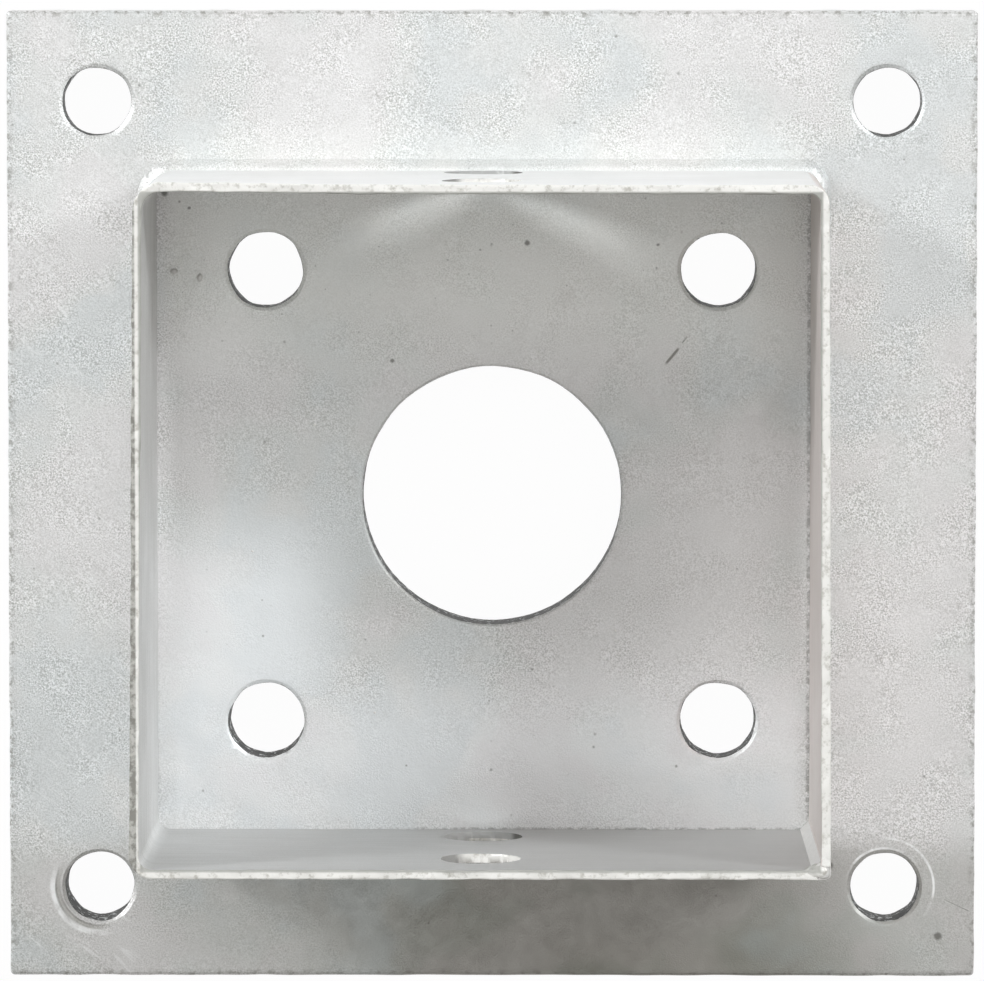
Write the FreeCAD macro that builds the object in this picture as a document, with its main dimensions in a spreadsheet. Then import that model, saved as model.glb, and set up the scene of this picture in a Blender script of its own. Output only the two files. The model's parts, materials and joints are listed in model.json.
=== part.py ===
import FreeCAD, Part
import math
import os
import Sketcher

# Bolt-down timber post base: a square steel plate with a shallow square socket welded on
# its top face.  The socket is one strip of sheet, folded at three corners and welded up the
# fourth.  A fillet weld runs round its foot, and the whole base is then dipped in zinc.
#
# Millimetres.  The origin is the centre of the plate's underside, +Z is up.  "Across" is
# along X and "along" is along Y; front is -Y, back is +Y, left is -X and right is +X.

SIZES = (
    # alias, size, what it is
    ("plate_width", 150.0, "plate, across"),
    ("plate_depth", 150.0, "plate, along"),
    ("plate_thickness", 8.0, "plate"),
    ("plate_corner_radius", 0.7, "upright corners of the plate"),
    ("plate_edge_break", 0.4, "top and bottom rims of the plate, softened by the zinc"),
    ("anchor_hole_diameter", 11.0, "four outer holes, for anchors into the concrete"),
    ("anchor_edge_distance", 14.0, "outer hole's centre from the plate's edges"),
    ("floor_hole_diameter", 12.0, "four holes in the socket's floor"),
    ("floor_pitch_across", 70.0, "between floor holes"),
    ("floor_pitch_along", 70.0, "between floor holes"),
    ("drain_hole_diameter", 40.0, "hole at the plate's centre"),
    ("hole_edge_break", 0.3, "mouths of the plate's holes, softened by the zinc"),
    ("socket_width", 101.0, "clear space for the post, across"),
    ("socket_depth", 101.0, "clear space for the post, along"),
    ("socket_height", 50.0, "socket wall above the plate"),
    ("socket_shift_across", -1.3, "socket's centre from the plate's centre, as welded"),
    ("socket_shift_along", -1.5, "socket's centre from the plate's centre, as welded"),
    ("sheet_thickness", 1.5, "socket wall"),
    ("rim_round", 0.35, "top rim of the socket wall"),
    ("bend_back_left", 3.0, "inside radius of the fold"),
    ("bend_back_right", 1.5, "inside radius of the fold"),
    ("bend_front_left", 2.0, "inside radius of the fold"),
    ("seam_gap", 0.5, "each end of the strip stops short of the inside corner by this"),
    ("seam_outer_radius", 1.0, "corner weld, dressed outside"),
    ("seam_root_reach", 0.9, "corner weld inside, past each end of the strip"),
    ("wall_hole_diameter", 12.0, "holes for bolts through the post"),
    ("wall_hole_height", 9.0, "lower hole's centre above the plate"),
    ("wall_hole_rise", 27.0, "upper hole's centre above the lower one's"),
    ("weld_leg", 1.6, "fillet weld round the socket's foot"),
    ("weld_fullness", 1.3, "weld's face radius for each millimetre of its leg"),
)

# Sizes that follow from those above.
WORKED_OUT = (
    ("anchor_pitch_across", "=plate_width - 2 * anchor_edge_distance"),
    ("anchor_pitch_along", "=plate_depth - 2 * anchor_edge_distance"),
    ("anchor_reach_across", "=anchor_pitch_across / 2"),
    ("anchor_reach_along", "=anchor_pitch_along / 2"),
    ("floor_reach_across", "=floor_pitch_across / 2"),
    ("floor_reach_along", "=floor_pitch_along / 2"),
    ("shell_width", "=socket_width + 2 * sheet_thickness"),
    ("shell_depth", "=socket_depth + 2 * sheet_thickness"),
    ("shell_back_left", "=bend_back_left + sheet_thickness"),
    ("shell_back_right", "=bend_back_right + sheet_thickness"),
    ("shell_front_left", "=bend_front_left + sheet_thickness"),
    ("seam_root", "=seam_gap + seam_root_reach"),
    ("weld_heel_across", "=shell_width / 2"),
    ("weld_heel_along", "=shell_depth / 2"),
    ("weld_toe_across", "=weld_heel_across + weld_leg"),
    ("weld_face_radius", "=weld_leg * weld_fullness"),
)

doc = FreeCAD.newDocument("timber_post_base")
sheet = doc.addObject("Spreadsheet::Sheet", "Sizes")
for row, (alias, number, meaning) in enumerate(SIZES, start=1):
    sheet.set(f"A{row}", meaning)
    sheet.set(f"B{row}", str(number))
    sheet.setAlias(f"B{row}", alias)
for row, (alias, formula) in enumerate(WORKED_OUT, start=len(SIZES) + 1):
    sheet.set(f"B{row}", formula)
    sheet.setAlias(f"B{row}", alias)
doc.recompute()


# ---- how the pieces are drawn ----

UP = FreeCAD.Vector(0, 0, 1)
START, END, CENTRE = range(1, 4)             # how a sketch numbers the points of a line or circle
UPRIGHT_AXIS, LEVEL_AXIS = range(-2, 0)     # its axes; the level one starts at the origin
HAIR = 1e-6                                 # lengths nearer than this count as equal


def size(alias):
    """The value of a named size in the sheet."""
    return float(sheet.get(alias))


def reading(term):
    """The value and the expression of an alias that may have a minus sign before it."""
    alias = term.lstrip("-")
    sign = -1 if term.startswith("-") else 1
    return sign * size(alias), term.replace(alias, f"Sizes.{alias}")


def new_body(label):
    """One piece of the base."""
    body = doc.addObject("PartDesign::Body", label)
    body.Label = label
    return body


def new_sketch(body, name, plane="XY_Plane"):
    """An empty sketch on one of the body's own origin planes."""
    sketch = body.newObject("Sketcher::SketchObject", name)
    sketch.AttachmentSupport = [(origin_item(body, plane), "")]
    sketch.MapMode = "FlatFace"
    return sketch


def origin_item(body, role):
    """One of the planes or axes of the body's own origin."""
    return next(item for item in body.Origin.OriginFeatures if item.Role == role)


def hold(sketch, kind, *items, term):
    """Add a dimension to a sketch and bind it to the sheet."""
    value, expression = reading(term)
    number = sketch.addConstraint(Sketcher.Constraint(kind, *items, value))
    sketch.setExpression(f"Constraints[{number}]", expression)


def place_point(sketch, item, point, x, y):
    """Dimension a point from the sketch's origin.  A coordinate of None is on the axis."""
    if x is None and y is None:
        sketch.addConstraint(Sketcher.Constraint("Coincident", item, point, LEVEL_AXIS, START))
        return
    for kind, term, axis in (("DistanceX", x, UPRIGHT_AXIS), ("DistanceY", y, LEVEL_AXIS)):
        if term is None:
            sketch.addConstraint(Sketcher.Constraint("PointOnObject", item, point, axis))
        else:
            hold(sketch, kind, LEVEL_AXIS, START, item, point, term=term)


def point_at(x, y):
    """A point from two terms, where None stands for zero."""
    return FreeCAD.Vector(reading(x)[0] if x else 0, reading(y)[0] if y else 0, 0)


def draw_circle(sketch, diameter, x=None, y=None):
    """A circle of a named diameter."""
    sketch.addGeometry(Part.Circle(point_at(x, y), UP, size(diameter) / 2))
    hold(sketch, "Diameter", 0, term=diameter)
    place_point(sketch, 0, CENTRE, x, y)


def draw_polygon(sketch, corners):
    """Straight lines round a list of corners, each dimensioned from the origin."""
    points = [point_at(x, y) for x, y in corners]
    for line, start in enumerate(points):
        sketch.addGeometry(Part.LineSegment(start, points[(line + 1) % len(points)]))
    for line, (x, y) in enumerate(corners):
        sketch.addConstraint(Sketcher.Constraint("Coincident", line - 1 if line else len(corners) - 1,
                                                 END, line, START))
        place_point(sketch, line, START, x, y)


def draw_rectangle(sketch, width, depth):
    """A rectangle about the sketch's origin."""
    half = FreeCAD.Vector(size(width) / 2, size(depth) / 2, 0)
    corners = [FreeCAD.Vector(x * half.x, y * half.y, 0) for x, y in ((-1, -1), (1, -1), (1, 1), (-1, 1))]
    for line, way in enumerate(("Horizontal", "Vertical", "Horizontal", "Vertical")):
        sketch.addGeometry(Part.LineSegment(corners[line], corners[(line + 1) % 4]))
        sketch.addConstraint(Sketcher.Constraint(way, line))
    for line in range(4):
        sketch.addConstraint(Sketcher.Constraint("Coincident", line, END, (line + 1) % 4, START))
    sketch.addConstraint(Sketcher.Constraint("Symmetric", 0, START, 1, END, LEVEL_AXIS, START))
    hold(sketch, "DistanceX", 0, START, 0, END, term=width)
    hold(sketch, "DistanceY", 1, START, 1, END, term=depth)


def pad(body, name, sketch, height):
    """Raise a sketch by a named height."""
    feature = body.newObject("PartDesign::Pad", name)
    feature.Profile = sketch
    feature.setExpression("Length", f"Sizes.{height}")
    doc.recompute()
    return feature


def cut_through(body, name, sketch, both_ways=False):
    """Cut a sketch right through the piece, and see that it took something away."""
    before = body.Shape.Volume
    feature = body.newObject("PartDesign::Pocket", name)
    feature.Profile = sketch
    feature.Type = "ThroughAll"
    feature.Midplane = both_ways
    feature.Reversed = not both_ways
    doc.recompute()
    if not body.Shape.Volume < before:
        raise RuntimeError(f"{name} cut nothing")
    return feature


def repeat(body, name, feature, first, second=None):
    """Repeat a cut along one or two axes, each given as (role, alias of the spacing)."""
    pattern = body.newObject("PartDesign::LinearPattern", name)
    pattern.Originals = [feature]
    pattern.Direction = (origin_item(body, first[0]), [""])
    pattern.setExpression("Length", f"Sizes.{first[1]}")
    pattern.Occurrences = 2
    if second:
        pattern.Direction2 = (origin_item(body, second[0]), [""])
        pattern.setExpression("Length2", f"Sizes.{second[1]}")
        pattern.Occurrences2 = 2
    body.Tip = pattern
    doc.recompute()


def dress_edges(body, kind, measure, name, term, wanted):
    """Add a dress-up feature on the edges of the body's latest feature that wanted() picks."""
    base = body.Tip
    names = [f"Edge{i}" for i, edge in enumerate(base.Shape.Edges, start=1) if wanted(edge)]
    feature = body.newObject(kind, name)
    feature.Base = (base, names)
    feature.setExpression(measure, f"Sizes.{term}")
    doc.recompute()


def round_edges(body, name, radius, wanted):
    """Fillet edges by a named radius."""
    dress_edges(body, "PartDesign::Fillet", "Radius", name, radius, wanted)


def break_edges(body, name, width, wanted):
    """Chamfer edges by a named width."""
    dress_edges(body, "PartDesign::Chamfer", "Size", name, width, wanted)


def is_upright(edge):
    """True for a straight edge that runs along Z."""
    box = edge.BoundBox
    return box.ZLength > HAIR and box.XLength < HAIR and box.YLength < HAIR


def is_level(edge):
    """True for an edge that stays at one height."""
    return edge.BoundBox.ZLength < HAIR


def is_mouth(edge):
    """True for a full circle that stays at one height, such as the mouth of an upright hole."""
    return is_level(edge) and isinstance(edge.Curve, Part.Circle) and edge.isClosed()


def upright_at(corner):
    """A test for the upright edge through a corner."""
    return lambda edge: is_upright(edge) and edge.BoundBox.Center.distanceToLine(corner, UP) < HAIR


# ---- base plate: a square of flat bar with nine holes ----

plate = new_body("base_plate")
outline = new_sketch(plate, "plate_outline")
draw_rectangle(outline, "plate_width", "plate_depth")
pad(plate, "plate_slab", outline, "plate_thickness")
round_edges(plate, "plate_corners", "plate_corner_radius", is_upright)

for group in ("anchor", "floor"):
    circle = new_sketch(plate, f"{group}_hole_circle")
    draw_circle(circle, f"{group}_hole_diameter", f"-{group}_reach_across", f"-{group}_reach_along")
    hole = cut_through(plate, f"{group}_hole", circle)
    repeat(plate, f"{group}_holes", hole,
           ("X_Axis", f"{group}_pitch_across"), ("Y_Axis", f"{group}_pitch_along"))

circle = new_sketch(plate, "drain_hole_circle")
draw_circle(circle, "drain_hole_diameter")
cut_through(plate, "drain_hole", circle)

break_edges(plate, "hole_mouths", "hole_edge_break", is_mouth)
break_edges(plate, "plate_rims", "plate_edge_break",
            lambda edge: is_level(edge) and not is_mouth(edge))


# ---- post socket: one strip of sheet, folded at three corners ----
# The socket and its welds are drawn about the socket's own centre, on top of the plate.

FOLDS = {"front_left": (-1, -1), "back_left": (-1, 1), "back_right": (1, 1)}


def seat_on_plate(body):
    """Put a piece that is drawn about the socket's centre where the socket stands."""
    body.setExpression("Placement.Base.x", "Sizes.socket_shift_across")
    body.setExpression("Placement.Base.y", "Sizes.socket_shift_along")
    body.setExpression("Placement.Base.z", "Sizes.plate_thickness")


def round_folds(body, face, width, depth):
    """Round the folded corners of the sheet's inside face, "bend", or its outside, "shell"."""
    for fold, (side_x, side_y) in FOLDS.items():
        corner = FreeCAD.Vector(side_x * size(width) / 2, side_y * size(depth) / 2, 0)
        round_edges(body, f"{face}_{fold}_fold", f"{face}_{fold}", upright_at(corner))


def at_seam(sketch):
    """Move a sketch's origin to the inside corner of the socket where the strip's ends meet."""
    sketch.setExpression("AttachmentOffset.Base.x", "Sizes.socket_width / 2")
    sketch.setExpression("AttachmentOffset.Base.y", "-Sizes.socket_depth / 2")


def is_outside(point):
    """True for a point on the socket's right or front outside face."""
    return point.x > size("shell_width") / 2 - HAIR or point.y < -size("shell_depth") / 2 + HAIR


socket = new_body("post_socket")
seat_on_plate(socket)
outside = new_sketch(socket, "outside_outline")
draw_rectangle(outside, "shell_width", "shell_depth")
pad(socket, "socket_block", outside, "socket_height")
round_folds(socket, "shell", "shell_width", "shell_depth")
inside = new_sketch(socket, "inside_outline")
draw_rectangle(inside, "socket_width", "socket_depth")
cut_through(socket, "post_space", inside)
round_folds(socket, "bend", "socket_width", "socket_depth")
round_edges(socket, "rim", "rim_round",
            lambda edge: is_level(edge) and edge.BoundBox.ZMin > size("socket_height") - HAIR)

seam_notch = new_sketch(socket, "seam_notch_outline")
at_seam(seam_notch)
draw_polygon(seam_notch, [("-seam_gap", "-sheet_thickness"), ("sheet_thickness", "-sheet_thickness"),
                          ("sheet_thickness", "seam_gap"), ("-seam_gap", "seam_gap")])
cut_through(socket, "seam_notch", seam_notch)

wall_circle = new_sketch(socket, "wall_hole_circle", "XZ_Plane")
draw_circle(wall_circle, "wall_hole_diameter", None, "wall_hole_height")
wall_hole = cut_through(socket, "wall_hole", wall_circle, both_ways=True)
repeat(socket, "wall_holes", wall_hole, ("Z_Axis", "wall_hole_rise"))


# ---- seam weld: fills the open corner between the strip's two ends ----

seam = new_body("seam_weld")
seat_on_plate(seam)
bead = new_sketch(seam, "bead_outline")
at_seam(bead)
draw_polygon(bead, [("-seam_gap", "-sheet_thickness"), ("sheet_thickness", "-sheet_thickness"),
                    ("sheet_thickness", "seam_gap"), (None, "seam_gap"), (None, "seam_root"),
                    ("-seam_root", None), ("-seam_gap", None)])
pad(seam, "bead", bead, "socket_height")
dressed_corner = FreeCAD.Vector(size("shell_width") / 2, -size("shell_depth") / 2, 0)
round_edges(seam, "bead_dressing", "seam_outer_radius", upright_at(dressed_corner))
round_edges(seam, "bead_rim", "rim_round",
            lambda edge: edge.BoundBox.ZMin > size("socket_height") - HAIR
            and all(is_outside(vertex.Point) for vertex in edge.Vertexes))


# ---- foot weld: a fillet weld that follows the socket's outside face round the plate ----


def draw_shell_outline(sketch):
    """The socket's outside outline: four sides with a tangent arc at each corner."""
    reach = FreeCAD.Vector(size("shell_width") / 2, size("shell_depth") / 2, 0)
    corners = ((1, -1, "seam_outer_radius"), (1, 1, "shell_back_right"),
               (-1, 1, "shell_back_left"), (-1, -1, "shell_front_left"))
    arcs = []
    for turn, (side_x, side_y, radius) in enumerate(corners):
        centre = FreeCAD.Vector(side_x * (reach.x - size(radius)), side_y * (reach.y - size(radius)), 0)
        circle = Part.Circle(centre, UP, size(radius))
        arcs.append(Part.ArcOfCircle(circle, (turn - 1) * math.pi / 2, turn * math.pi / 2))
    for turn, arc in enumerate(arcs):
        sketch.addGeometry(Part.LineSegment(arcs[turn - 1].EndPoint, arc.StartPoint))
        sketch.addGeometry(arc)
    for turn, (side_x, side_y, radius) in enumerate(corners):
        line, arc, next_line = 2 * turn, 2 * turn + 1, (2 * turn + 2) % 8
        way = "Vertical" if turn % 2 else "Horizontal"
        sketch.addConstraint(Sketcher.Constraint(way, line))
        sketch.addConstraint(Sketcher.Constraint("Tangent", line, END, arc, START))
        sketch.addConstraint(Sketcher.Constraint("Tangent", arc, END, next_line, START))
        hold(sketch, "Radius", arc, term=radius)
    hold(sketch, "DistanceY", LEVEL_AXIS, START, 0, START, term="-weld_heel_along")
    hold(sketch, "DistanceX", LEVEL_AXIS, START, 2, START, term="weld_heel_across")
    hold(sketch, "DistanceY", LEVEL_AXIS, START, 4, START, term="weld_heel_along")
    hold(sketch, "DistanceX", LEVEL_AXIS, START, 6, START, term="-weld_heel_across")


def draw_fillet_section(sketch):
    """The weld's section where it crosses the socket's right side, with a rounded face."""
    leg, radius = size("weld_leg"), size("weld_face_radius")
    half_chord = leg / math.sqrt(2)
    bulge = radius - math.sqrt(radius ** 2 - half_chord ** 2)
    crown = leg / 2 + bulge / math.sqrt(2)
    heel, toe = point_at("weld_heel_across", None), point_at("weld_toe_across", None)
    top = point_at("weld_heel_across", "weld_leg")
    sketch.addGeometry(Part.LineSegment(heel, toe))
    sketch.addGeometry(Part.Arc(toe, heel + FreeCAD.Vector(crown, crown, 0), top))
    sketch.addGeometry(Part.LineSegment(top, heel))
    for item in range(3):
        sketch.addConstraint(Sketcher.Constraint("Coincident", item, END, (item + 1) % 3, START))
    place_point(sketch, 0, START, "weld_heel_across", None)
    place_point(sketch, 0, END, "weld_toe_across", None)
    place_point(sketch, 2, START, "weld_heel_across", "weld_leg")
    hold(sketch, "Radius", 1, term="weld_face_radius")


foot = new_body("foot_weld")
seat_on_plate(foot)
run = new_sketch(foot, "weld_run")
draw_shell_outline(run)
section = new_sketch(foot, "weld_section", "XZ_Plane")
draw_fillet_section(section)
doc.recompute()
weld = foot.newObject("PartDesign::AdditivePipe", "weld_bead")
weld.Profile = section
weld.Spine = (run, [f"Edge{i}" for i in range(1, len(run.Shape.Edges) + 1)])
doc.recompute()


# ---- check every object, then write one file for each piece ----

for item in doc.Objects:
    if "Invalid" in item.State or "Error" in item.State:
        raise RuntimeError(f"{item.Label} failed: {item.State}")

os.makedirs("parts", exist_ok=True)
for piece in (plate, socket, seam, foot):
    if piece.Shape.isNull() or not piece.Shape.isValid() or len(piece.Shape.Solids) != 1:
        raise RuntimeError(f"{piece.Label} is not one sound solid")
    piece.Shape.exportStep(f"parts/{piece.Label}.step")
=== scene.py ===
import json
import math
import random

import bmesh
import bpy
from mathutils import Matrix, Vector, noise


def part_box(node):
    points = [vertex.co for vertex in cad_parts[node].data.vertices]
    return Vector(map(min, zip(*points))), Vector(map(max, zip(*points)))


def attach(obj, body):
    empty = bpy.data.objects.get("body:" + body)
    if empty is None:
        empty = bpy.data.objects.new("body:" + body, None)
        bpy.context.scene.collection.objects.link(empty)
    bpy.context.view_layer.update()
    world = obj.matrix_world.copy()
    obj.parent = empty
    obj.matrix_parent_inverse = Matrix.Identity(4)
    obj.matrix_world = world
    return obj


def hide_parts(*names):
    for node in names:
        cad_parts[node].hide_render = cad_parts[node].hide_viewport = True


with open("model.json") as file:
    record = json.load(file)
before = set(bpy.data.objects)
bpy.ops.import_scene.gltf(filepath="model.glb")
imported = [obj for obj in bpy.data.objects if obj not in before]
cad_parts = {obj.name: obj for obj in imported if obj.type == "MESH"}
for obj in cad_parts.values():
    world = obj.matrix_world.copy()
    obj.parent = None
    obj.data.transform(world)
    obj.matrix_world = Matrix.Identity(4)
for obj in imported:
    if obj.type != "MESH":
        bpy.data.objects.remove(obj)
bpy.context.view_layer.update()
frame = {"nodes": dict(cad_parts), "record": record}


# ---- Camera ----
# A long lens high over the plate, a little behind its back edge, with that edge at the
# top of the view.
SENSOR = 36   # mm across
LENS = 304.6  # mm
plate_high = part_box("base_plate")[1]
eye = Vector((0.0112, 0.1070, 1.2932))
target = Vector((0.0, 0.0008, plate_high.z))
camera = bpy.data.objects.new("camera", bpy.data.cameras.new("camera"))
bpy.context.scene.collection.objects.link(camera)
bpy.context.scene.camera = camera
camera.data.sensor_width = SENSOR
camera.data.lens = LENS
away = (eye - target).normalized()
across = Vector((0, 1, 0)).cross(away).normalized()
turn = Matrix((across, away.cross(across), away)).transposed()
camera.matrix_world = Matrix.Translation(eye) @ turn.to_4x4()


# ---- Base plate ----
# A square of 8 mm mild steel with a large drain hole, four bolt holes inside the socket
# and one at each corner. The holes are cut through, and the whole base is then dipped
# in molten zinc, which rolls over every edge and leaves a dull, grainy, pitted skin.
MM = 0.001
SAME_POINT = 0.001 * MM          # points closer than this are merged
FLAT_FOLD = math.radians(0.5)    # a fold under this is no edge
CHAMFER_FOLD = math.radians(45)  # the fold on each side of a small chamfer
FOLD_SLACK = math.radians(7)     # how far from that a chamfer's fold may be
ROLLED_EDGE = 0.13 * MM          # how far zinc rounds each small chamfer
SOFT_EDGE = math.radians(40)     # a sharper fold than this keeps a crisp shade
PLATE_PITCH = 1.1 * MM           # spacing of the cuts that let the plate's faces wander
PLATE_SINK = 0.12 * MM           # the most that the plate's coat thins
COAT_WANDER = 5.0 * MM           # the distance over which a coat thickens and thins
OUTER_BAND = 1.0 * MM            # how far in from its outline the plate's own sides reach
HOLE_COAT = 0.10 * MM            # the least that zinc adds to the walls of the bolt holes
HOLE_DRIPS = 0.25 * MM           # the most that drips add to that
DRIP_WANDER = 3.0 * MM           # the distance from drip to drip
holes = {mount["name"]: mount["dims"] for mount in frame["record"]["mounts"]}
drain = holes["drain_hole"]["r_mm"] * MM
anchor = holes["anchor_holes"]["hole_r_mm"] * MM
anchor_reach = holes["anchor_holes"]["spacing_x_mm"] / 2 * MM


def linear(hex_colour):
    """An sRGB hex colour as linear RGBA."""
    parts = [int(hex_colour[i:i + 2], 16) / 255 for i in (1, 3, 5)]
    return [c / 12.92 if c <= 0.04045 else ((c + 0.055) / 1.055) ** 2.4 for c in parts] + [1.0]


def add(tree, kind, inputs=None, **settings):
    """Adds a node with its settings; each input is a plain value or the socket that feeds it."""
    node = tree.nodes.new("ShaderNode" + kind)
    for name, value in settings.items():
        setattr(node, name, value)
    for name, value in (inputs or {}).items():
        if isinstance(value, bpy.types.NodeSocket):
            tree.links.new(value, node.inputs[name])
        else:
            node.inputs[name].default_value = value
    return node


def worked_copy(node, pitch):
    """A CAD node's mesh as a bmesh: merged, its small chamfers rounded, its faces cut finely."""
    skin = bmesh.new()
    skin.from_mesh(frame["nodes"][node].data)
    bmesh.ops.remove_doubles(skin, verts=skin.verts, dist=SAME_POINT)
    bmesh.ops.dissolve_limit(skin, angle_limit=FLAT_FOLD, verts=skin.verts, edges=skin.edges)
    chamfered = [
        edge for edge in skin.edges
        if abs(edge.calc_face_angle(0) - CHAMFER_FOLD) < FOLD_SLACK
    ]
    bmesh.ops.bevel(
        skin, geom=chamfered, offset=ROLLED_EDGE, segments=2, profile=0.5,
        affect="EDGES", material=-1, clamp_overlap=True,
    )
    low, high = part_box(node)
    for axis in range(3):
        span = high[axis] - low[axis]
        steps = round(span / pitch)
        facing = Vector([axis == side for side in range(3)])
        for step in range(1, steps):
            bmesh.ops.bisect_plane(
                skin,
                geom=skin.verts[:] + skin.edges[:] + skin.faces[:],
                plane_co=low + facing * span * step / steps,
                plane_no=facing,
            )
    skin.normal_update()
    return skin


def wander(place, size):
    """A smooth share from 0 to 1 that changes over about size."""
    return min(max(0.5 + noise.noise(place / size), 0.0), 1.0)


def sink(skin, depth):
    """Sinks each point by up to depth, as the thickness of a dipped coat wanders."""
    for vert in skin.verts:
        vert.co -= vert.normal * depth * wander(vert.co, COAT_WANDER)
    skin.normal_update()


def as_piece(skin, name, materials, node=None):
    """The bmesh as a smooth piece that rides on the base, and stands for a CAD node if given."""
    mesh = bpy.data.meshes.new(name)
    skin.to_mesh(mesh)
    skin.free()
    mesh.shade_smooth()
    mesh.set_sharp_from_angle(angle=SOFT_EDGE)
    for material in materials:
        mesh.materials.append(material)
    piece = bpy.data.objects.new(name, mesh)
    bpy.context.scene.collection.objects.link(piece)
    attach(piece, "root")
    if node:
        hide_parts(node)


def start_metal(name, metallic, roughness):
    """A new material: its tree, its surface shader and its Object coordinates."""
    material = bpy.data.materials.new(name)
    material.use_nodes = True
    surface = material.node_tree.nodes["Principled BSDF"]
    surface.inputs["Metallic"].default_value = metallic
    surface.inputs["Roughness"].default_value = roughness
    place = add(material.node_tree, "TexCoord").outputs["Object"]
    return material, material.node_tree, surface, place


def zone(tree, value, low, high, soft):
    """A mask, 1 where the value lies between low and high, with soft ends."""
    rise = add(tree, "MapRange", {0: value, 1: low - soft, 2: low + soft},
               interpolation_type="SMOOTHSTEP").outputs[0]
    fall = add(tree, "MapRange", {0: value, 1: high - soft, 2: high + soft, 3: 1, 4: 0},
               interpolation_type="SMOOTHSTEP").outputs[0]
    return add(tree, "Math", {0: rise, 1: fall}, operation="MULTIPLY").outputs[0]


def patch(tree, axes, **spans):
    """A mask, 1 inside a block; for each axis, its low end, high end and softness in mm."""
    mask = 1.0
    for axis, (low, high, soft) in spans.items():
        span = zone(tree, axes[axis], low * MM, high * MM, soft * MM)
        mask = add(tree, "Math", {0: span, 1: mask}, operation="MULTIPLY").outputs[0]
    return mask


def pits(tree, place, spacing, share, widest):
    """A mask, 1 in scattered pits: their spacing, the share of spots that has one, a radius."""
    cells = add(tree, "TexVoronoi", {"Vector": place, "Scale": 1 / spacing})
    chance = add(tree, "SeparateXYZ", {0: cells.outputs["Color"]}).outputs["X"]
    radius = add(tree, "MapRange", {0: chance, 1: 1 - share, 2: 1.0, 3: 0.001,
                                    4: widest / spacing}).outputs[0]
    return add(tree, "MapRange", {0: cells.outputs["Distance"], 1: 0.0, 2: radius,
                                  3: 1, 4: 0}).outputs[0]


def stroke(tree, place, middle, angle, length, width):
    """A mask, 1 along one straight scratch on the plate's top and 0 away from it."""
    along = add(tree, "Mapping", {"Vector": place, "Location": middle, "Rotation": (0, 0, angle)},
                vector_type="TEXTURE").outputs[0]
    parts = add(tree, "SeparateXYZ", {0: along}).outputs
    far = add(tree, "Math", {0: parts["X"]}, operation="ABSOLUTE").outputs[0]
    off = add(tree, "Math", {0: parts["Y"]}, operation="ABSOLUTE").outputs[0]
    ends = add(tree, "MapRange", {0: far, 1: length * 0.35, 2: length * 0.5, 3: 1, 4: 0})
    sides = add(tree, "MapRange", {0: off, 1: width * 0.2, 2: width * 0.5, 3: 1, 4: 0})
    return add(tree, "Math", {0: ends.outputs[0], 1: sides.outputs[0]},
               operation="MULTIPLY").outputs[0]


def ring(tree, place, middle, inner, outer, towards):
    """A mask, 1 on an arc round a hole, strongest on the side the arrow points to."""
    from_middle = add(tree, "VectorMath", {0: place, 1: middle}, operation="SUBTRACT").outputs[0]
    flat = add(tree, "VectorMath", {0: from_middle, 1: (1, 1, 0)}, operation="MULTIPLY").outputs[0]
    radius = add(tree, "VectorMath", {0: flat}, operation="LENGTH").outputs["Value"]
    unit = add(tree, "VectorMath", {0: flat}, operation="NORMALIZE").outputs[0]
    side = add(tree, "VectorMath", {0: unit, 1: towards}, operation="DOT_PRODUCT").outputs["Value"]
    edge = (outer - inner) * 0.3
    rise = add(tree, "MapRange", {0: radius, 1: inner, 2: inner + edge}).outputs[0]
    fall = add(tree, "MapRange", {0: radius, 1: outer - edge, 2: outer, 3: 1, 4: 0}).outputs[0]
    # The arc fades out between 37 and 70 degrees from the arrow.
    arc = add(tree, "MapRange", {0: side, 1: 0.35, 2: 0.8}).outputs[0]
    band = add(tree, "Math", {0: rise, 1: fall}, operation="MULTIPLY").outputs[0]
    return add(tree, "Math", {0: band, 1: arc}, operation="MULTIPLY").outputs[0]


def lay_tints(tree, zinc, tints):
    """The zinc under tints laid one on another, each with its mask, strength and colour."""
    for mask, strength, colour in tints:
        share = add(tree, "Math", {0: mask, 1: strength}, operation="MULTIPLY").outputs[0]
        zinc = add(tree, "Mix", {"Factor": share, 6: zinc, 7: linear(colour)},
                   data_type="RGBA").outputs[2]
    return zinc


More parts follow.
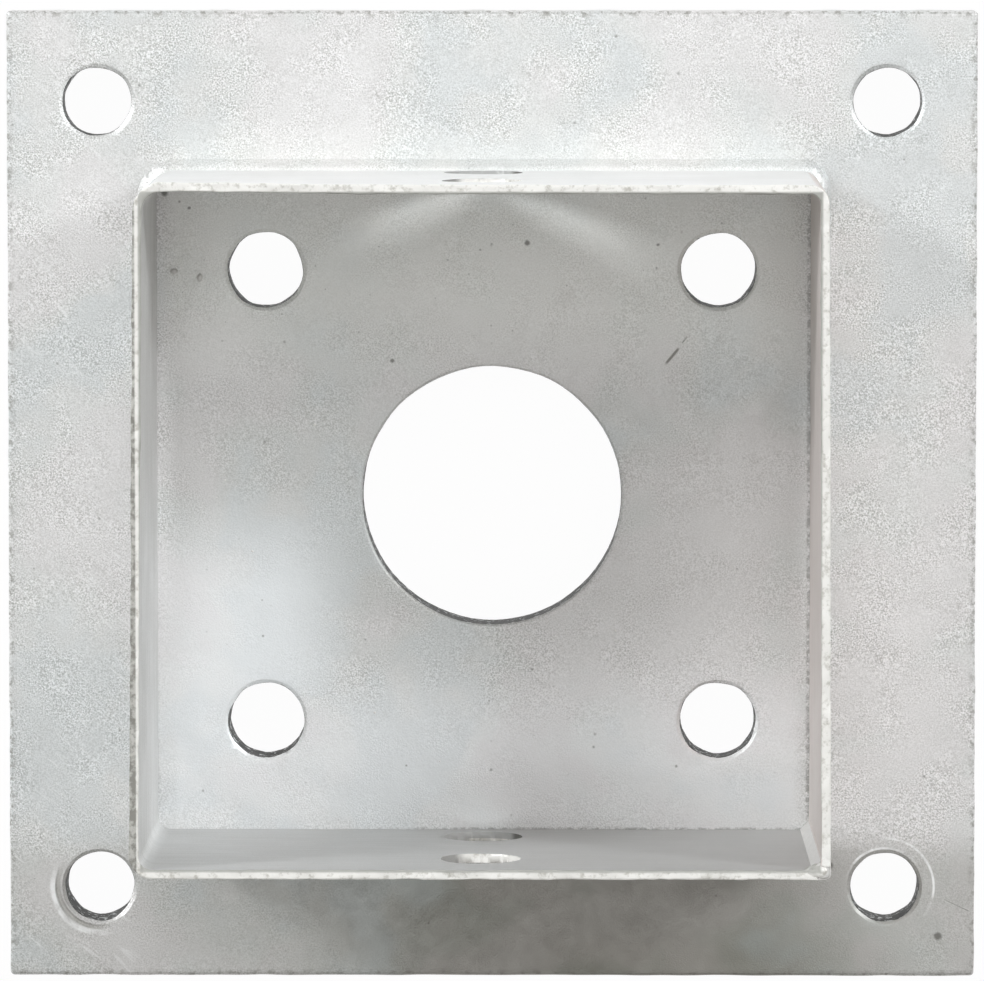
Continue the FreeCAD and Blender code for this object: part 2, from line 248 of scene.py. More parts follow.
def hot_dip_galvanised_plate():
    """Dipped zinc on thick plate: matt and pale, with a sparkling grain, clouds and dark pits."""
    material, tree, surface, place = start_metal(
        "hot_dip_galvanised_plate", metallic=0.6, roughness=0.5
    )
    axes = add(tree, "SeparateXYZ", {0: place}).outputs

    # The zinc's crystals are under 0.1 mm; they are drawn at 0.25 mm so that they show.
    # The other patterns have their real size in mm.
    patterns = {}
    for name, size, detail, roughness in (
        ("crystals", 0.25, 1, 0.6),
        ("drifts", 9, 2, 0.6),
        ("mottle", 2.6, 3, 0.6),
        ("cloud", 24, 3, 0.55),
        ("joint_shade", 0.9, 3, 0.7),
        ("wear", 1.1, 3, 0.7),
    ):
        patterns[name] = add(tree, "TexNoise", {
            "Vector": place, "Scale": 1 / (size * MM), "Detail": detail, "Roughness": roughness,
        }).outputs["Fac"]
    mottle, cloud = patterns["mottle"], patterns["cloud"]

    # The grain is strong in drifts and weak between them.
    strong = add(tree, "MapRange", {0: patterns["drifts"], 1: 0.40, 2: 0.62, 3: 0.35, 4: 1.0}).outputs[0]
    grain = add(tree, "Math", {0: patterns["crystals"], 1: 0.5}, operation="SUBTRACT").outputs[0]
    grain = add(tree, "Math", {0: grain, 1: strong, 2: 0.5}, operation="MULTIPLY_ADD").outputs[0]
    tone = 0.0
    for pattern, weight in ((cloud, 0.45), (mottle, 0.22), (grain, 2.9)):
        tone = add(tree, "Math", {0: pattern, 1: weight, 2: tone}, operation="MULTIPLY_ADD").outputs[0]
    tone = add(tree, "MapRange", {0: tone, 1: 1.25, 2: 2.25}).outputs[0]
    zinc = add(tree, "Mix", {"Factor": tone, 6: linear("#b9b9b6"), 7: linear("#ffffff")},
               data_type="RGBA").outputs[2]

    # The middle of the socket's floor is painted duller, as painted shade, and the front flange, right of
    # the middle, a duller, browner grey, as the painted shadow of the socket.
    floor_width = (-50, 48, 2)
    middle_band = patch(tree, axes, X=floor_width, Y=(-24, 26, 12))
    front_flange = patch(tree, axes, Y=(-90, -55, 4))
    rightwards = add(tree, "MapRange", {0: axes["X"], 1: -56 * MM, 2: -34 * MM, 3: 0.35, 4: 0.65}).outputs[0]
    front_shade = add(tree, "Math", {0: front_flange, 1: rightwards}, operation="MULTIPLY").outputs[0]
    brown_front_shadow = add(tree, "Math", {0: patch(tree, axes, X=(-18, 52, 16), Y=(-90, -54, 2)), 1: 0.8},
                operation="MULTIPLY").outputs[0]
    brown_front_shadow = add(tree, "Math", {0: patch(tree, axes, X=(10, 62, 8), Y=(-90, -69, 4)), 1: 0.2, 2: brown_front_shadow},
                operation="MULTIPLY_ADD").outputs[0]

    # The front of the socket's floor and its left side are painted whiter, as painted light, and its back is
    # painted paler, as painted light in the back wall's shadow; small pits are thickest at the back.
    front_floor_light = patch(tree, axes, X=floor_width, Y=(-53, -32, 8))
    left_floor_light = patch(tree, axes, X=(-52, -26, 8), Y=(-53, -6, 10))
    floor_light = add(tree, "Math", {0: front_floor_light, 1: left_floor_light}, operation="MAXIMUM").outputs[0]
    back_floor = patch(tree, axes, X=floor_width, Y=(24, 52, 10))
    pitted = add(tree, "Math", {0: back_floor, 1: 0.7, 2: 0.3}, operation="MULTIPLY_ADD").outputs[0]
    small_pits = pits(tree, place, 1.7 * MM, 0.45, 0.30 * MM)
    small_pits = add(tree, "Math", {0: small_pits, 1: pitted}, operation="MULTIPLY").outputs[0]
    dark_spots = [small_pits, pits(tree, place, 3.2 * MM, 0.40, 0.36 * MM)]

    # A few larger dark specks with ragged rims: where each is and its radius, in mm.
    for x, y, radius in (
        (5.4, 39.2, 0.55), (25.6, 38.9, 0.40), (-15.4, 20.9, 0.45), (69.3, -68.7, 0.75),
        (-17.5, 38.6, 0.3), (52.6, -57.6, 0.6), (-50.6, 46.9, 0.7), (-46.8, 44.6, 0.3),
    ):
        off = add(tree, "VectorMath", {0: place, 1: (x * MM, y * MM, plate_high.z)},
                  operation="DISTANCE").outputs["Value"]
        off = add(tree, "Math", {0: mottle, 1: 0.9 * MM, 2: off}, operation="MULTIPLY_ADD").outputs[0]
        dark_spots.append(add(tree, "MapRange", {
            0: off, 1: (radius * 0.5 + 0.45) * MM, 2: (radius + 0.45) * MM, 3: 1, 4: 0,
        }).outputs[0])

    # A ragged dark line is painted along the joint at the foot of the right wall and of the front wall's
    # right half, as painted shade in that inner corner.
    right_joint = patch(tree, axes, X=(48.75, 51, 0.2), Y=(-53, 50, 0.5))
    front_joint = patch(tree, axes, X=(-12, 50, 12), Y=(-53, -51.75, 0.2))
    joint = add(tree, "Math", {0: right_joint, 1: front_joint}, operation="MAXIMUM").outputs[0]
    joint_shade = add(tree, "MapRange", {0: patterns["joint_shade"], 1: 0.42, 2: 0.56, 4: 0.6}).outputs[0]
    dark_spots.append(add(tree, "Math", {0: joint, 1: joint_shade}, operation="MULTIPLY").outputs[0])
    dark = 0.0
    for spot in dark_spots:
        dark = add(tree, "Math", {0: spot, 1: dark}, operation="MAXIMUM").outputs[0]

    # A deep scratch inside the socket with a short one in line, and a hairline on the front
    # right of the flange: middle in mm, degrees, length and width in mm, and strength.
    scratch = 0.0
    for x, y, degrees, length, width, strength in (
        (27.9, 21.7, 50, 3.4, 0.45, 0.8),
        (29.8, 24.2, 50, 1.2, 0.3, 0.5),
        (72.4, -64.0, -25, 5.0, 0.16, 0.35),
    ):
        middle = (x * MM, y * MM, plate_high.z)
        mark = stroke(tree, place, middle, math.radians(degrees), length * MM, width * MM)
        mark = add(tree, "Math", {0: mark, 1: strength}, operation="MULTIPLY").outputs[0]
        scratch = add(tree, "Math", {0: mark, 1: scratch}, operation="MAXIMUM").outputs[0]

    # Fine slanting scuffs from handling, half a millimetre apart, on the left flange only.
    slanted = add(tree, "Mapping", {"Vector": place, "Rotation": (0, 0, math.radians(50)),
                                    "Scale": (1, 12, 1)}, vector_type="TEXTURE").outputs[0]
    scuffs = add(tree, "TexNoise", {"Vector": slanted, "Scale": 1 / (0.5 * MM), "Detail": 2,
                                    "Roughness": 0.5}).outputs["Fac"]
    scuffs = add(tree, "MapRange", {0: scuffs, 1: 0.60, 2: 0.70}).outputs[0]
    left_flange = patch(tree, axes, X=(-90, -55, 3))
    scuffs = add(tree, "Math", {0: scuffs, 1: left_flange}, operation="MULTIPLY").outputs[0]

    # Beside the two front anchor holes lie a darker groove and bright lips, the lips a painted highlight on
    # the holes' rolled rims, whose edges stand so many mm out from the hole.
    left_hole = Vector((-anchor_reach, -anchor_reach, 0))
    right_hole = Vector((anchor_reach, -anchor_reach, 0))
    front_left = Vector((-0.8, -0.6, 0))
    groove = ring(tree, place, left_hole, anchor + 0.5 * MM, anchor + 1.5 * MM, front_left)
    lip = 0.0
    for hole, inner, outer, towards in (
        (left_hole, 1.2, 2.4, front_left),
        (right_hole, 0.3, 0.8, Vector((-0.2, 0.98, 0))),
        (right_hole, 1.9, 2.4, Vector((0.86, 0.5, 0))),
    ):
        highlight_arc = ring(tree, place, hole, anchor + inner * MM, anchor + outer * MM, towards)
        lip = add(tree, "Math", {0: highlight_arc, 1: lip}, operation="MAXIMUM").outputs[0]
    broken = add(tree, "MapRange", {0: mottle, 1: 0.3, 2: 0.6}).outputs[0]
    lip = add(tree, "Math", {0: lip, 1: broken}, operation="MULTIPLY").outputs[0]

    # The plate's outer edges are rubbed and specked.
    far_x = add(tree, "Math", {0: axes["X"]}, operation="ABSOLUTE").outputs[0]
    far_y = add(tree, "Math", {0: axes["Y"]}, operation="ABSOLUTE").outputs[0]
    far = add(tree, "Math", {0: far_x, 1: far_y}, operation="MAXIMUM").outputs[0]
    border = add(tree, "MapRange", {0: far, 1: plate_high.x - 1.3 * MM,
                                    2: plate_high.x - 0.3 * MM}).outputs[0]
    specked = add(tree, "MapRange", {0: patterns["wear"], 1: 0.50, 2: 0.62}).outputs[0]
    rubbed = add(tree, "Math", {0: border, 1: specked}, operation="MULTIPLY").outputs[0]

    # The first three tints are painted shade and shadow, the fourth and the seventh are painted light, the
    # eighth holds the joint's painted shade among real pits and specks, and the twelfth, the white lips, is
    # a painted highlight.
    zinc = lay_tints(tree, zinc, (
        (middle_band, 0.5, "#b4b4b1"),
        (front_shade, 1.0, "#b2b2ad"),
        (brown_front_shadow, 1.0, "#93928a"),
        (floor_light, 0.75, "#fdfeff"),
        (zone(tree, cloud, 0.54, 0.80, 0.05), 0.10, "#e6d3d8"),
        (zone(tree, cloud, 0.20, 0.45, 0.05), 0.12, "#cfe0ea"),
        (back_floor, 0.5, "#fbfbf6"),
        (dark, 0.8, "#6f6d68"),
        (scratch, 1.0, "#8d8b85"),
        (scuffs, 0.35, "#ffffff"),
        (groove, 0.5, "#98968f"),
        (lip, 1.0, "#ffffff"),
        (rubbed, 0.65, "#85827b"),
    ))
    tree.links.new(zinc, surface.inputs["Base Color"])

    # The sheen wanders with the mottles, and the back of the floor, painted pale as painted light, is less
    # metallic.
    # The grain and the mottles stand up, and the scratches and the groove are cut in.
    matt = add(tree, "MapRange", {0: mottle, 1: 0.3, 2: 0.7, 3: 0.44, 4: 0.56}).outputs[0]
    tree.links.new(matt, surface.inputs["Roughness"])
    metallic = add(tree, "Math", {0: back_floor, 1: -0.35, 2: 0.6}, operation="MULTIPLY_ADD")
    tree.links.new(metallic.outputs[0], surface.inputs["Metallic"])
    cuts = add(tree, "Math", {0: scratch, 1: groove}, operation="MAXIMUM").outputs[0]
    height = 0.0
    for pattern, rise in ((grain, 0.07 * MM), (mottle, 0.05 * MM), (cuts, -0.14 * MM)):
        height = add(tree, "Math", {0: pattern, 1: rise, 2: height}, operation="MULTIPLY_ADD").outputs[0]
    relief = add(tree, "Bump", {"Height": height, "Strength": 1.0, "Distance": 1.0})
    tree.links.new(relief.outputs[0], surface.inputs["Normal"])
    return material


def galvanised_cut_wall():
    """The cut walls of holes under the zinc: ridged from the cut, painted dark as painted shade inside the
    holes, with bright drips.
    """
    material, tree, surface, place = start_metal("galvanised_cut_wall", metallic=0.3, roughness=0.6)
    # The cut's ridges run through the thickness, about 0.4 mm apart; they are drawn at
    # 0.8 mm so that they show.
    drawn = add(tree, "Mapping", {"Vector": place, "Scale": (1, 1, 0.16)}).outputs[0]
    ridge = add(tree, "TexNoise", {"Vector": drawn, "Scale": 1 / (0.8 * MM), "Detail": 3,
                                   "Roughness": 0.7}).outputs["Fac"]
    drip = add(tree, "TexNoise", {"Vector": place, "Scale": 1 / (0.9 * MM), "Detail": 2}).outputs["Fac"]
    bright = add(tree, "MapRange", {0: drip, 1: 0.58, 2: 0.66}).outputs[0]
    # The dark greys are painted shade inside the holes, varied by the cut's ridges.
    dark = add(tree, "Mix", {"Factor": ridge, 6: linear("#1b1b19"), 7: linear("#5e5f5d")},
               data_type="RGBA").outputs[2]
    colour = lay_tints(tree, dark, [(bright, 1.0, "#e6e8e8")])
    tree.links.new(colour, surface.inputs["Base Color"])
    relief = add(tree, "Bump", {"Height": ridge, "Strength": 1.0, "Distance": 0.25 * MM})
    tree.links.new(relief.outputs[0], surface.inputs["Normal"])
    return material


plate_skin = worked_copy("base_plate", PLATE_PITCH)
sink(plate_skin, PLATE_SINK)
plate_zinc, cut_wall = hot_dip_galvanised_plate(), galvanised_cut_wall()
for face in plate_skin.faces:
    middle = face.calc_center_median()
    inside = max(abs(middle.x), abs(middle.y)) < plate_high.x - OUTER_BAND
    upright = abs(face.normal.z) < 0.5
    if upright and inside:
        face.material_index = 1
# Zinc hangs unevenly on the walls of the bolt holes, but not on the drain hole's.
for vert in plate_skin.verts:
    beyond_drain = math.hypot(vert.co.x, vert.co.y) > drain + 1 * MM
    inside = max(abs(vert.co.x), abs(vert.co.y)) < plate_high.x - OUTER_BAND
    upright = abs(vert.normal.z) < 0.6
    if upright and beyond_drain and inside:
        vert.co += vert.normal * (HOLE_COAT + HOLE_DRIPS * wander(vert.co, DRIP_WANDER))
plate_skin.normal_update()
as_piece(plate_skin, "galvanised_plate", [plate_zinc, cut_wall], "base_plate")


# ---- Post socket ----
# A collar of 1.5 mm steel sheet, folded at three corners and welded at the fourth. Its
# top edge is as sawn, thick with zinc, and the box is not quite true. Rolling lines run
# level round the sheet, and two bolt holes, one above the other, go through front and back.
SHEET = 1.5 * MM        # the sheet's thickness
SHEET_PITCH = 1.1 * MM  # spacing of the cuts that let the sheet's faces wander
SHEET_SINK = 0.10 * MM  # the most that the sheet's coat thins
RIM_DEPTH = 0.55 * MM   # how far down the zinc on the top edge is lumpy
RIM_DIPS = 0.38 * MM    # how far the top edge dips between lumps
RIM_SWAY = 0.10 * MM    # how far it sways sideways
DIP_WANDER = 1.4 * MM   # the distance from lump to lump
SWAY_WANDER = 1.7 * MM  # the distance over which the edge sways
socket_low, socket_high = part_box("post_socket")
socket_middle = (socket_low + socket_high) / 2
half_socket = (socket_high.x - socket_low.x) / 2
wall_hole = holes["wall_hole_upper"]["r_mm"] * MM


def lean(point):
    """Moves a point by as much as the folded box is out of true there."""
    height = (point.z - socket_low.z) / (socket_high.z - socket_low.z)
    back = (point.y - socket_middle.y) / (socket_high.y - socket_middle.y)
    right = (point.x - socket_low.x) / (socket_high.x - socket_low.x)
    # The side walls spread at the front and close at the back, and the back wall's left
    # end stands further back.
    left_wall = (0.45 * back - 0.20) * MM
    right_wall = (0.20 - 0.25 * back) * MM
    point.x += height * (left_wall * (1 - right) + right_wall * right)
    point.y += height * 0.45 * MM * max(back, 0) * max(1 - 3 * right, 0)


def hot_dip_galvanised_sheet():
    """Dipped zinc on rolled sheet: smoother than the plate, with level rolling lines."""
    material, tree, surface, place = start_metal(
        "hot_dip_galvanised_sheet", metallic=0.6, roughness=0.5
    )
    # The crystals are drawn as coarse as the plate's. The rolling lines are some tenths of
    # a millimetre apart and are drawn at 1.1 mm so that they show.
    grain = add(tree, "TexNoise", {"Vector": place, "Scale": 1 / (0.25 * MM), "Detail": 1,
                                   "Roughness": 0.6}).outputs["Fac"]
    drawn = add(tree, "Mapping", {"Vector": place, "Scale": (0.06, 0.06, 1)}).outputs[0]
    rolled = add(tree, "TexNoise", {"Vector": drawn, "Scale": 1 / (1.1 * MM), "Detail": 4,
                                    "Roughness": 0.65}).outputs["Fac"]
    cloud = add(tree, "TexNoise", {"Vector": place, "Scale": 1 / (16 * MM), "Detail": 3}).outputs["Fac"]
    tone = 0.0
    for pattern, weight in ((cloud, 0.5), (rolled, 0.5), (grain, 0.6)):
        tone = add(tree, "Math", {0: pattern, 1: weight, 2: tone}, operation="MULTIPLY_ADD").outputs[0]
    tone = add(tree, "MapRange", {0: tone, 1: 0.56, 2: 1.06}).outputs[0]
    zinc = add(tree, "Mix", {"Factor": tone, 6: linear("#d0d0ce"), 7: linear("#f6f6f6")},
               data_type="RGBA").outputs[2]

    # The front wall is painted duller, inside as well as out, more so to the right, as painted shade; the
    # back wall is painted whiter outside, as painted light; and the right wall is brownish.
    axes = add(tree, "SeparateXYZ", {0: place}).outputs
    front = zone(tree, axes["Y"], socket_low.y - MM, socket_low.y + 2.0 * MM, 0.4 * MM)
    rightwards = add(tree, "MapRange", {0: axes["X"], 1: socket_low.x, 2: socket_high.x,
                                        3: 0.45, 4: 0.85}).outputs[0]
    front_shade = add(tree, "Math", {0: rightwards, 1: front}, operation="MULTIPLY").outputs[0]
    back = zone(tree, axes["Y"], socket_high.y - 0.5 * MM, socket_high.y + 2 * MM, 0.3 * MM)
    right = zone(tree, axes["X"], socket_high.x - 2.0 * MM, socket_high.x + MM, 0.4 * MM)
    zinc = lay_tints(tree, zinc, (
        (front_shade, 1.0, "#bfbfbe"),
        (back, 0.6, "#fafafa"),
        (right, 0.6, "#e0d2cc"),
    ))
    tree.links.new(zinc, surface.inputs["Base Color"])
    relief = add(tree, "Bump", {"Height": grain, "Strength": 1.0, "Distance": 0.035 * MM})
    relief = add(tree, "Bump", {"Height": rolled, "Strength": 1.0, "Distance": 0.05 * MM,
                                "Normal": relief.outputs[0]})
    tree.links.new(relief.outputs[0], surface.inputs["Normal"])
    return material


def zinc_beaded_edge():
    """Fresh cream-white zinc, thick and lumpy along the sheet's sawn edges."""
    material, tree, surface, place = start_metal("zinc_beaded_edge", metallic=0.25, roughness=0.5)
    # The lumps are about a millimetre across.
    lump = add(tree, "TexNoise", {"Vector": place, "Scale": 1 / (1.1 * MM), "Detail": 3,
                                  "Roughness": 0.6}).outputs["Fac"]
    tone = add(tree, "MapRange", {0: lump, 1: 0.30, 2: 0.48}).outputs[0]
    zinc = add(tree, "Mix", {"Factor": tone, 6: linear("#cbc8c1"), 7: linear("#f4f2ee")},
               data_type="RGBA").outputs[2]
    centred = add(tree, "VectorMath", {0: place, 1: socket_middle}, operation="SUBTRACT").outputs[0]
    axes = add(tree, "SeparateXYZ", {0: centred}).outputs

    # All round, the inner corner of the edge is painted the grey of the sheet, as painted shade where the
    # edge rounds over.
    out_x = add(tree, "Math", {0: axes["X"]}, operation="ABSOLUTE").outputs[0]
    out_y = add(tree, "Math", {0: axes["Y"]}, operation="ABSOLUTE").outputs[0]
    out = add(tree, "Math", {0: out_x, 1: out_y}, operation="MAXIMUM").outputs[0]
    inner_edge_shade = add(tree, "MapRange", {0: out, 1: half_socket - 1.25 * MM, 2: half_socket - 0.95 * MM,
                                  3: 1, 4: 0}).outputs[0]
    inner_edge_shade = add(tree, "Math", {0: inner_edge_shade, 1: patch(tree, axes, Z=(20, 30, 0.5))},
               operation="MULTIPLY").outputs[0]

    # Over its outer part the left wall's edge is notched and darker.
    notched = add(tree, "MapRange", {0: lump, 1: 0.44, 2: 0.60, 3: 1.0, 4: 0.55}).outputs[0]
    left = zone(tree, axes["X"], -half_socket - MM, -half_socket + 0.55 * MM, 0.12 * MM)
    left = add(tree, "Math", {0: left, 1: notched}, operation="MULTIPLY").outputs[0]

    # The lower bolt hole's cut is painted the grey of the wall, as painted shade, but for a bright streak at
    # its lip.
    low_hole = patch(tree, axes, Z=(-30, -2, 1))
    lip = zone(tree, axes["Y"], -60 * MM, -half_socket + 0.45 * MM, 0.1 * MM)
    streak = add(tree, "Math", {0: lip, 1: patch(tree, axes, X=(-2.5, 4.4, 0.8))},
                 operation="MULTIPLY").outputs[0]
    lower_cut_shade = add(tree, "Math", {0: low_hole, 1: streak}, operation="SUBTRACT", use_clamp=True).outputs[0]

    # Both cuts fall to dark at one end, where the lamps do not reach.
    low_end = patch(tree, axes, X=(4.6, 9, 0.5), Z=(-30, -2, 1))
    high_end = patch(tree, axes, X=(-9, -3.2, 1.0), Z=(-2, 20, 1))
    zinc = lay_tints(tree, zinc, (
        (inner_edge_shade, 1.0, "#b4b3ae"),
        (left, 1.0, "#8f8d87"),
        (lower_cut_shade, 1.0, "#bdbdbc"),
        (low_end, 1.0, "#7b7a76"),
        (high_end, 1.0, "#a09f9d"),
    ))
    tree.links.new(zinc, surface.inputs["Base Color"])
    relief = add(tree, "Bump", {"Height": lump, "Strength": 1.0, "Distance": 0.12 * MM})
    tree.links.new(relief.outputs[0], surface.inputs["Normal"])
    return material


sheet_skin = worked_copy("post_socket", SHEET_PITCH)
sink(sheet_skin, SHEET_SINK)
for face in sheet_skin.faces:
    middle = face.calc_center_median()
    faces_up = face.normal.z > 0.3
    on_rim = middle.z > socket_high.z - RIM_DEPTH and faces_up
    beside_hole = abs(middle.x - socket_middle.x) < wall_hole + 0.05 * MM
    below_rim = middle.z < socket_high.z - wall_hole / 4
    on_hole_wall = beside_hole and below_rim and abs(face.normal.y) < 0.5
    if on_rim or on_hole_wall:
        face.material_index = 1
for vert in sheet_skin.verts:
    above = (vert.co.z - (socket_high.z - RIM_DEPTH)) / RIM_DEPTH
    if above > 0:
        vert.co.z -= above * RIM_DIPS * wander(vert.co, DIP_WANDER)
        vert.co.x += RIM_SWAY * noise.noise(vert.co / SWAY_WANDER)
        vert.co.y += RIM_SWAY * noise.noise(-vert.co / SWAY_WANDER)
    lean(vert.co)
sheet_skin.normal_update()
sheet_zinc, edge_zinc = hot_dip_galvanised_sheet(), zinc_beaded_edge()
as_piece(sheet_skin, "galvanised_socket", [sheet_zinc, edge_zinc], "post_socket")


# ---- Seam weld ----
# One upright bead closes the collar's open corner, laid from outside in small overlapping
# ripples, and ends at the top in a lump that fills the corner of the edge.
SEAM_PITCH = 0.45 * MM
RIPPLE = 1.3 * MM         # from one ripple to the next
RIPPLE_DEPTH = 0.15 * MM
RIPPLE_SLANT = 0.25       # how much higher a ripple ends than it starts, for its width
BEAD_END = 0.4 * MM       # how much of the bead, from its top, is lowered
BEAD_DROP = 0.35 * MM     # how far that is lowered below the top edge
ROOT_DROP = 0.3 * MM      # how far its root does
ROOT_PROUD = 0.03 * MM    # how far the root stands out of the two walls
ROOT_DEPTH = 0.5 * MM     # how far it reaches into them
ROOT_SPREAD = 0.2 * MM    # how far it runs along them beyond the bead
LUMP_SIZE = Vector((2.2, 1.25, 0.75)) * MM
LUMP_EVEN = 0.82          # the share of the lump's size that is the same all round
LUMP_SWELLS = 1.8         # how closely its swells follow one another
seam_low, seam_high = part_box("seam_weld")


def galvanised_weld():
    """Weld metal under zinc: the same pale coat, rounder and a little glossier."""
    material, tree, surface, place = start_metal("galvanised_weld", metallic=0.6, roughness=0.42)
    # Its lumps are about half a millimetre across.
    lump = add(tree, "TexNoise", {"Vector": place, "Scale": 1 / (0.6 * MM), "Detail": 3}).outputs["Fac"]
    zinc = add(tree, "Mix", {"Factor": lump, 6: linear("#cfcdca"), 7: linear("#f6f4f2")},
               data_type="RGBA").outputs[2]
    tree.links.new(zinc, surface.inputs["Base Color"])
    relief = add(tree, "Bump", {"Height": lump, "Strength": 1.0, "Distance": 0.08 * MM})
    tree.links.new(relief.outputs[0], surface.inputs["Normal"])
    return material


weld_zinc = galvanised_weld()
seam_skin = worked_copy("seam_weld", SEAM_PITCH)
for vert in seam_skin.verts:
    on_face = vert.normal.x > 0.1 or vert.normal.y < -0.1
    if on_face:
        crest = abs(math.sin(math.pi * (vert.co.z + vert.co.x * RIPPLE_SLANT) / RIPPLE))
        vert.co -= vert.normal * RIPPLE_DEPTH * (1 - crest)
    lean(vert.co)
for vert in seam_skin.verts:
    if vert.co.z > seam_high.z - BEAD_END:
        vert.co.z -= BEAD_DROP
as_piece(seam_skin, "seam_bead", [weld_zinc], "seam_weld")

# The root of the bead lies in the sharp inner corner between the two walls.
end_x, end_y = seam_low.x - ROOT_SPREAD, seam_high.y + ROOT_SPREAD
front_x, front_y = socket_high.x - SHEET - ROOT_PROUD, socket_low.y + SHEET + ROOT_PROUD
deep_x, deep_y = front_x + ROOT_DEPTH, front_y - ROOT_DEPTH
outline = (
    (end_x, front_y), (front_x, front_y), (front_x, end_y),
    (deep_x, end_y), (deep_x, deep_y), (end_x, deep_y),
)
root_skin = bmesh.new()
foot = root_skin.faces.new([root_skin.verts.new((x, y, seam_low.z)) for x, y in outline])
raised = bmesh.ops.extrude_face_region(root_skin, geom=[foot])
for part in raised["geom"]:
    if isinstance(part, bmesh.types.BMVert):
        part.co.z = seam_high.z - ROOT_DROP
for vert in root_skin.verts:
    lean(vert.co)
bmesh.ops.recalc_face_normals(root_skin, faces=root_skin.faces)
as_piece(root_skin, "seam_root", [sheet_zinc])

lump_skin = bmesh.new()
bmesh.ops.create_icosphere(lump_skin, subdivisions=4, radius=1.0)
lump_middle = Vector((seam_high.x - 2.0 * MM, seam_low.y + 1.3 * MM, seam_high.z - 0.68 * MM))
for vert in lump_skin.verts:
    vert.co *= LUMP_EVEN + (1 - LUMP_EVEN) * noise.noise(vert.co * LUMP_SWELLS)
    vert.co = vert.co * LUMP_SIZE + lump_middle
    lean(vert.co)
as_piece(lump_skin, "seam_top_lump", [edge_zinc])


# ---- Foot weld ----
# A small fillet runs round the collar's outside where it stands on the plate. The zinc
# has flowed over it and hides all but its swell.
FOOT_PITCH = 0.7 * MM
FOOT_BACK = 0.1 * MM    # the bead's back is within this of the wall
FOOT_PRESS = 0.3 * MM   # how far it is pressed into the wall, so that no gap shows above it
FOOT_SINK = 0.12 * MM   # the most that the zinc on its face thins
FOOT_WANDER = 2.4 * MM  # the distance over which that thickens and thins
foot_skin = worked_copy("foot_weld", FOOT_PITCH)
for vert in foot_skin.verts:
    off = vert.co - socket_middle
    if max(abs(off.x), abs(off.y)) < half_socket + FOOT_BACK:
        vert.co -= FOOT_PRESS * Vector((off.x, off.y, 0)).normalized()
    elif vert.normal.z > 0.4 and vert.co.z > plate_high.z + 0.2 * MM:
        vert.co -= vert.normal * FOOT_SINK * wander(vert.co, FOOT_WANDER)
as_piece(foot_skin, "foot_bead", [plate_zinc], "foot_weld")


# ---- Zinc blisters ----
# Beads of dross that froze on the plate as it left the bath: three near the back left
# corner of the socket's floor and a seeded scatter of small ones, clear of the holes.
LARGE_BLISTERS = (  # where each is and its radius, in mm, and its height for its radius
    (-49.2, 34.8, 0.62, 0.8), (-45.2, 33.8, 0.66, 0.8), (-41.5, 35.3, 0.3, 0.5),
)
SMALL_BLISTERS = 26
SPREAD_X, SPREAD_Y = (-48, 44), (-48, 46)  # mm
SMALL_RADIUS = (0.12, 0.26)                # mm
SMALL_RISE = 0.3                           # their height for their radius
BLISTER_WIDTH = 0.7       # a blister's width for its length
BLISTER_SET = 0.06 * MM   # how far it is set into the plate
CLEAR_OF_DRAIN = 22       # mm from the middle
INNER_HOLES = 35          # how far the inner bolt holes are from the middle, each way, in mm
CLEAR_OF_INNER = 8        # mm from the middle of one
random.seed(7)
blister_skin = bmesh.new()
blisters = list(LARGE_BLISTERS)
for _ in range(SMALL_BLISTERS):
    x, y = random.uniform(*SPREAD_X), random.uniform(*SPREAD_Y)
    blisters.append((x, y, random.uniform(*SMALL_RADIUS), SMALL_RISE))
for x, y, radius, rise in blisters:
    from_inner = math.hypot(abs(x) - INNER_HOLES, abs(y) - INNER_HOLES)
    if math.hypot(x, y) < CLEAR_OF_DRAIN or from_inner < CLEAR_OF_INNER:
        continue
    turn = Matrix.Rotation(random.uniform(0, math.pi), 4, "Z")
    size = Matrix.Diagonal((radius * MM, radius * BLISTER_WIDTH * MM, radius * rise * MM, 1))
    spot = Matrix.Translation((x * MM, y * MM, plate_high.z - BLISTER_SET))
    bmesh.ops.create_icosphere(blister_skin, subdivisions=2, radius=1.0, matrix=spot @ turn @ size)
as_piece(blister_skin, "zinc_blisters", [weld_zinc])


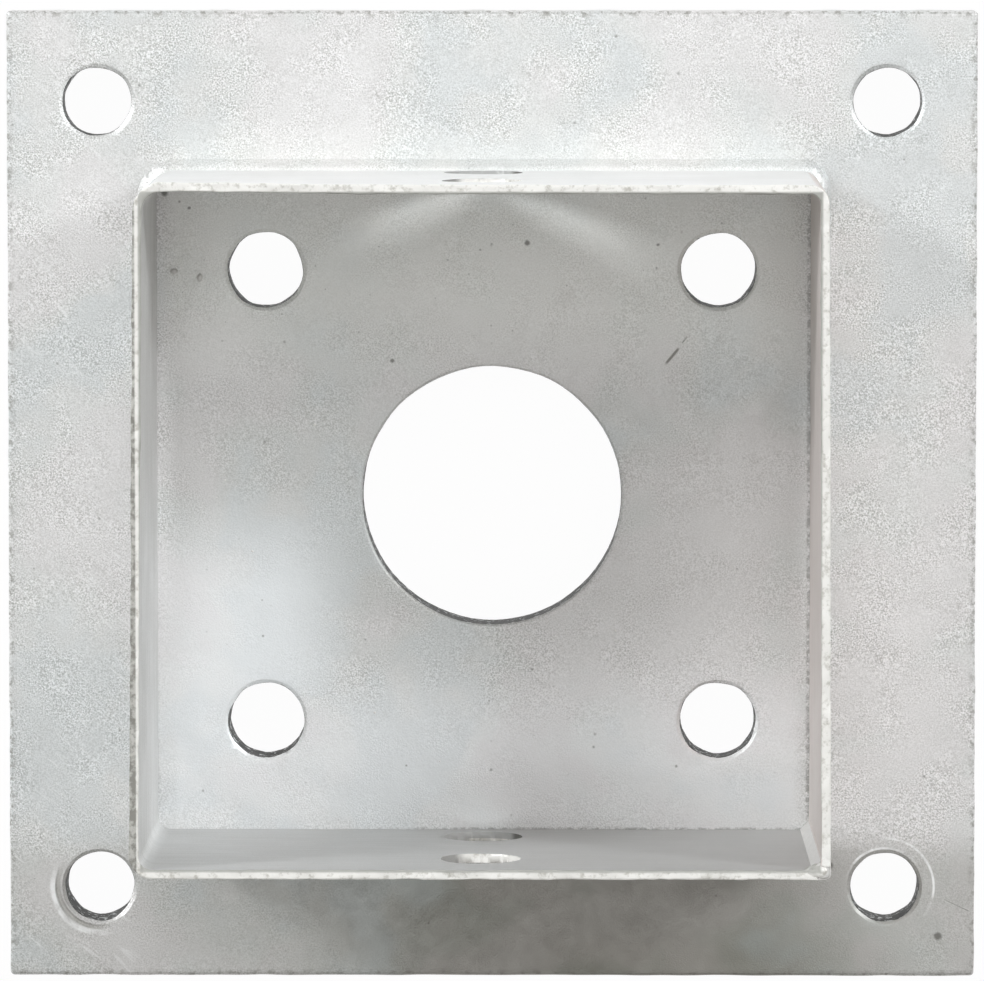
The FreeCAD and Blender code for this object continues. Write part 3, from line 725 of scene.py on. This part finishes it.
# ---- Floor ----
# A wide sheet of white paper, which shows white to the lens and keeps a faint shadow.
FLOOR_REACH = 30    # metres from the middle to each side
SHOWN_WHITE = 0.97  # the share of plain white; the rest is lit paper, with its shadow
floor_skin = bmesh.new()
bmesh.ops.create_grid(floor_skin, x_segments=1, y_segments=1, size=FLOOR_REACH)
floor_mesh = bpy.data.meshes.new("floor")
floor_skin.to_mesh(floor_mesh)
floor_skin.free()
floor = bpy.data.objects.new("floor", floor_mesh)
bpy.context.scene.collection.objects.link(floor)
paper = bpy.data.materials.new("white_paper")
paper.use_nodes = True
tree = paper.node_tree
tree.nodes.clear()
ray = add(tree, "LightPath").outputs
seen = add(tree, "Math", {0: ray["Is Camera Ray"], 1: ray["Is Glossy Ray"]}, operation="MAXIMUM")
seen = add(tree, "Math", {0: seen.outputs[0], 1: ray["Is Transmission Ray"]}, operation="MAXIMUM")
seen = add(tree, "Math", {0: seen.outputs[0], 1: SHOWN_WHITE}, operation="MULTIPLY")
lit = add(tree, "BsdfDiffuse", {"Color": linear("#f4f4f4")})
white = add(tree, "Emission", {"Color": linear("#ffffff"), "Strength": 1.0})
both = add(tree, "MixShader", {0: seen.outputs[0], 1: lit.outputs[0], 2: white.outputs[0]})
add(tree, "OutputMaterial", {"Surface": both.outputs[0]})
floor.data.materials.append(paper)


# ---- Light ----
# Two soft lamps stand at the back left and back right and two weaker, wider ones overhead,
# towards the back and the front, in a pale room.
ROOM_STRENGTH = 0.29
LAMP_DISTANCE = 1.6  # metres
LAMP_COLOUR = "#fafdff"
LAMPS = (  # name, degrees clockwise from the back, degrees up, light, degrees across
    ("left_lamp", -60, 27, 1.84, 14),
    ("right_lamp", 59, 36, 1.52, 15),
    ("back_top_lamp", 0, 72, 0.42, 35),
    ("front_top_lamp", 180, 70, 0.24, 25),
)
world = bpy.data.worlds.new("room")
bpy.context.scene.world = world
world.use_nodes = True
room = world.node_tree.nodes["Background"]
room.inputs["Color"].default_value = linear("#fffdf7")
room.inputs["Strength"].default_value = ROOM_STRENGTH
for name, azimuth, elevation, light, spread in LAMPS:
    lamp = bpy.data.objects.new(name, bpy.data.lights.new(name, "AREA"))
    bpy.context.scene.collection.objects.link(lamp)
    turned, raised = math.radians(azimuth), math.radians(elevation)
    towards = Vector((
        math.sin(turned) * math.cos(raised), math.cos(turned) * math.cos(raised), math.sin(raised)
    ))
    facing = towards.to_track_quat("Z", "Y").to_matrix().to_4x4()
    lamp.matrix_world = Matrix.Translation(towards * LAMP_DISTANCE) @ facing
    lamp.data.shape = "DISK"
    lamp.data.size = 2 * LAMP_DISTANCE * math.tan(math.radians(spread / 2))
    lamp.data.energy = light * math.pi * LAMP_DISTANCE ** 2
    lamp.data.color = linear(LAMP_COLOUR)[:3]

bpy.context.scene.view_settings.view_transform = "Standard"
